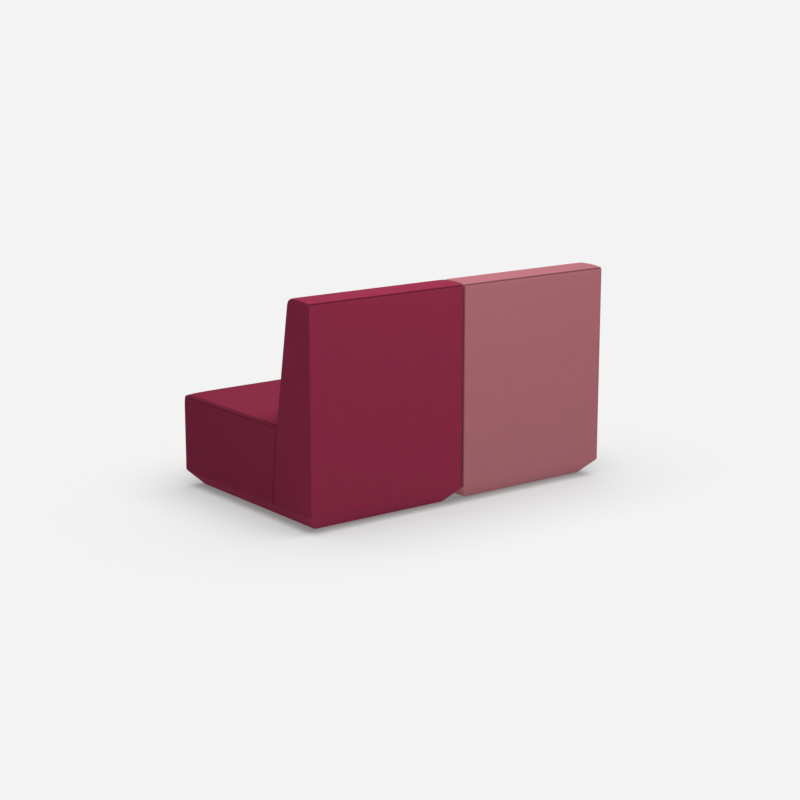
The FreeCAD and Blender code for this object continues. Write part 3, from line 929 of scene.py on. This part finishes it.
def add_floor():
    """A floor that the camera sees at the page's level, and that lights the sofa by a dimmer bounce."""
    data = bpy.data.meshes.new("floor")
    reach = floor_size / 2
    data.from_pydata([(-reach, -reach, 0), (reach, -reach, 0), (reach, reach, 0), (-reach, reach, 0)],
                     [], [(0, 1, 2, 3)])
    floor = add_object(data)
    material = bpy.data.materials.new("floor")
    material.use_nodes = True
    tree = material.node_tree
    tree.nodes.remove(tree.nodes["Principled BSDF"])
    lit = add_node(tree, "BsdfDiffuse", Color=(floor_colour, floor_colour, floor_colour, 1))
    glow = add_node(tree, "Emission", Color=(page_level, page_level, page_level, 1))
    seen = blend_shaders(tree, floor_glow_share, lit.outputs["BSDF"], glow.outputs["Emission"])
    place = add_node(tree, "SeparateXYZ", Vector=add_node(tree, "TexCoord").outputs["Object"])
    bounce = add_node(tree, "MapRange", Value=place.outputs["Y"], From_Min=side_bounce_y,
                      From_Max=rear_bounce_y, To_Min=side_bounce_level, To_Max=rear_bounce_level)
    bounced = add_node(tree, "Emission", Strength=bounce.outputs["Result"])
    shown = blend_shaders(tree, page_rays(tree), bounced.outputs["Emission"], seen)
    tree.links.new(shown, tree.nodes["Material Output"].inputs["Surface"])
    data.materials.append(material)
    return floor


def add_world():
    """A dim room, brightest behind the sofa and dark in front of it, which the camera sees as the page."""
    world = bpy.data.worlds.new("studio")
    bpy.context.scene.world = world
    world.use_nodes = True
    tree = world.node_tree
    towards = add_node(tree, "SeparateXYZ", Vector=add_node(tree, "TexCoord").outputs["Generated"])
    room = add_node(tree, "MapRange", Value=towards.outputs["Y"], From_Min=world_dark_y, From_Max=1.0,
                    To_Min=0.0, To_Max=world_level)
    level = add_node(tree, "MapRange", Value=page_rays(tree), To_Min=room.outputs["Result"],
                     To_Max=page_level)
    set_inputs(tree, tree.nodes["Background"], Color=(1, 1, 1, 1), Strength=level.outputs["Result"])


def add_lamp(name, kind, receivers, energy):
    """A lamp that lights only the given objects, and whose shadows all objects cast."""
    lamp = add_object(bpy.data.lights.new(name, kind))
    lamp.data.energy = energy
    lit = bpy.data.collections.new(name + "_receivers")
    for receiver in receivers:
        lit.objects.link(receiver)
    lamp.light_linking.receiver_collection = lit
    return lamp


def aim_sun(lamp, azimuth, elevation, spread):
    """Turns a broad sun to shine from an azimuth and an elevation."""
    lamp.data.angle = spread
    towards = Vector((math.cos(azimuth) * math.cos(elevation),
                      math.sin(azimuth) * math.cos(elevation), math.sin(elevation)))
    lamp.rotation_euler = towards.to_track_quat("Z", "Y").to_euler()


def add_lamps(floor):
    """A broad lamp overhead and a low fill from the front for the sofa, and an even light for the floor."""
    sofa = [piece for piece in bpy.context.scene.objects if piece.type == "MESH" and piece is not floor]
    overhead = add_lamp("overhead", "AREA", sofa, overhead_power)
    overhead.data.size = overhead_size
    overhead.location = overhead_place
    fill = add_lamp("fill", "SUN", sofa, fill_level)
    aim_sun(fill, fill_azimuth, fill_elevation, fill_spread)
    floor_light = add_lamp("floor_light", "SUN", [floor], floor_sun_level)
    aim_sun(floor_light, floor_sun_azimuth, floor_sun_elevation, floor_sun_spread)


def add_camera():
    """A camera at the photograph's viewing angle."""
    data = bpy.data.cameras.new("camera")
    data.lens = camera_lens
    data.sensor_width = camera_sensor
    data.clip_end = camera_reach
    camera = add_object(data)
    camera.location = camera_place
    ahead = Vector((math.sin(camera_yaw) * math.cos(camera_pitch),
                    -math.cos(camera_yaw) * math.cos(camera_pitch),
                    -math.sin(camera_pitch)))
    camera.rotation_euler = ahead.to_track_quat("-Z", "Y").to_euler()
    bpy.context.scene.camera = camera


for side, slot, colour in (("left", "burgundy_fabric", burgundy), ("right", "pink_fabric", dusty_pink)):
    thread = spun_thread(slot + "_thread", tinted(colour, stitch_tone))
    dress_module(side, upholstery_fabric(slot, colour), thread)
dress_frame()
floor = add_floor()
add_world()
add_lamps(floor)
add_camera()
bpy.context.scene.view_settings.view_transform = "Standard"
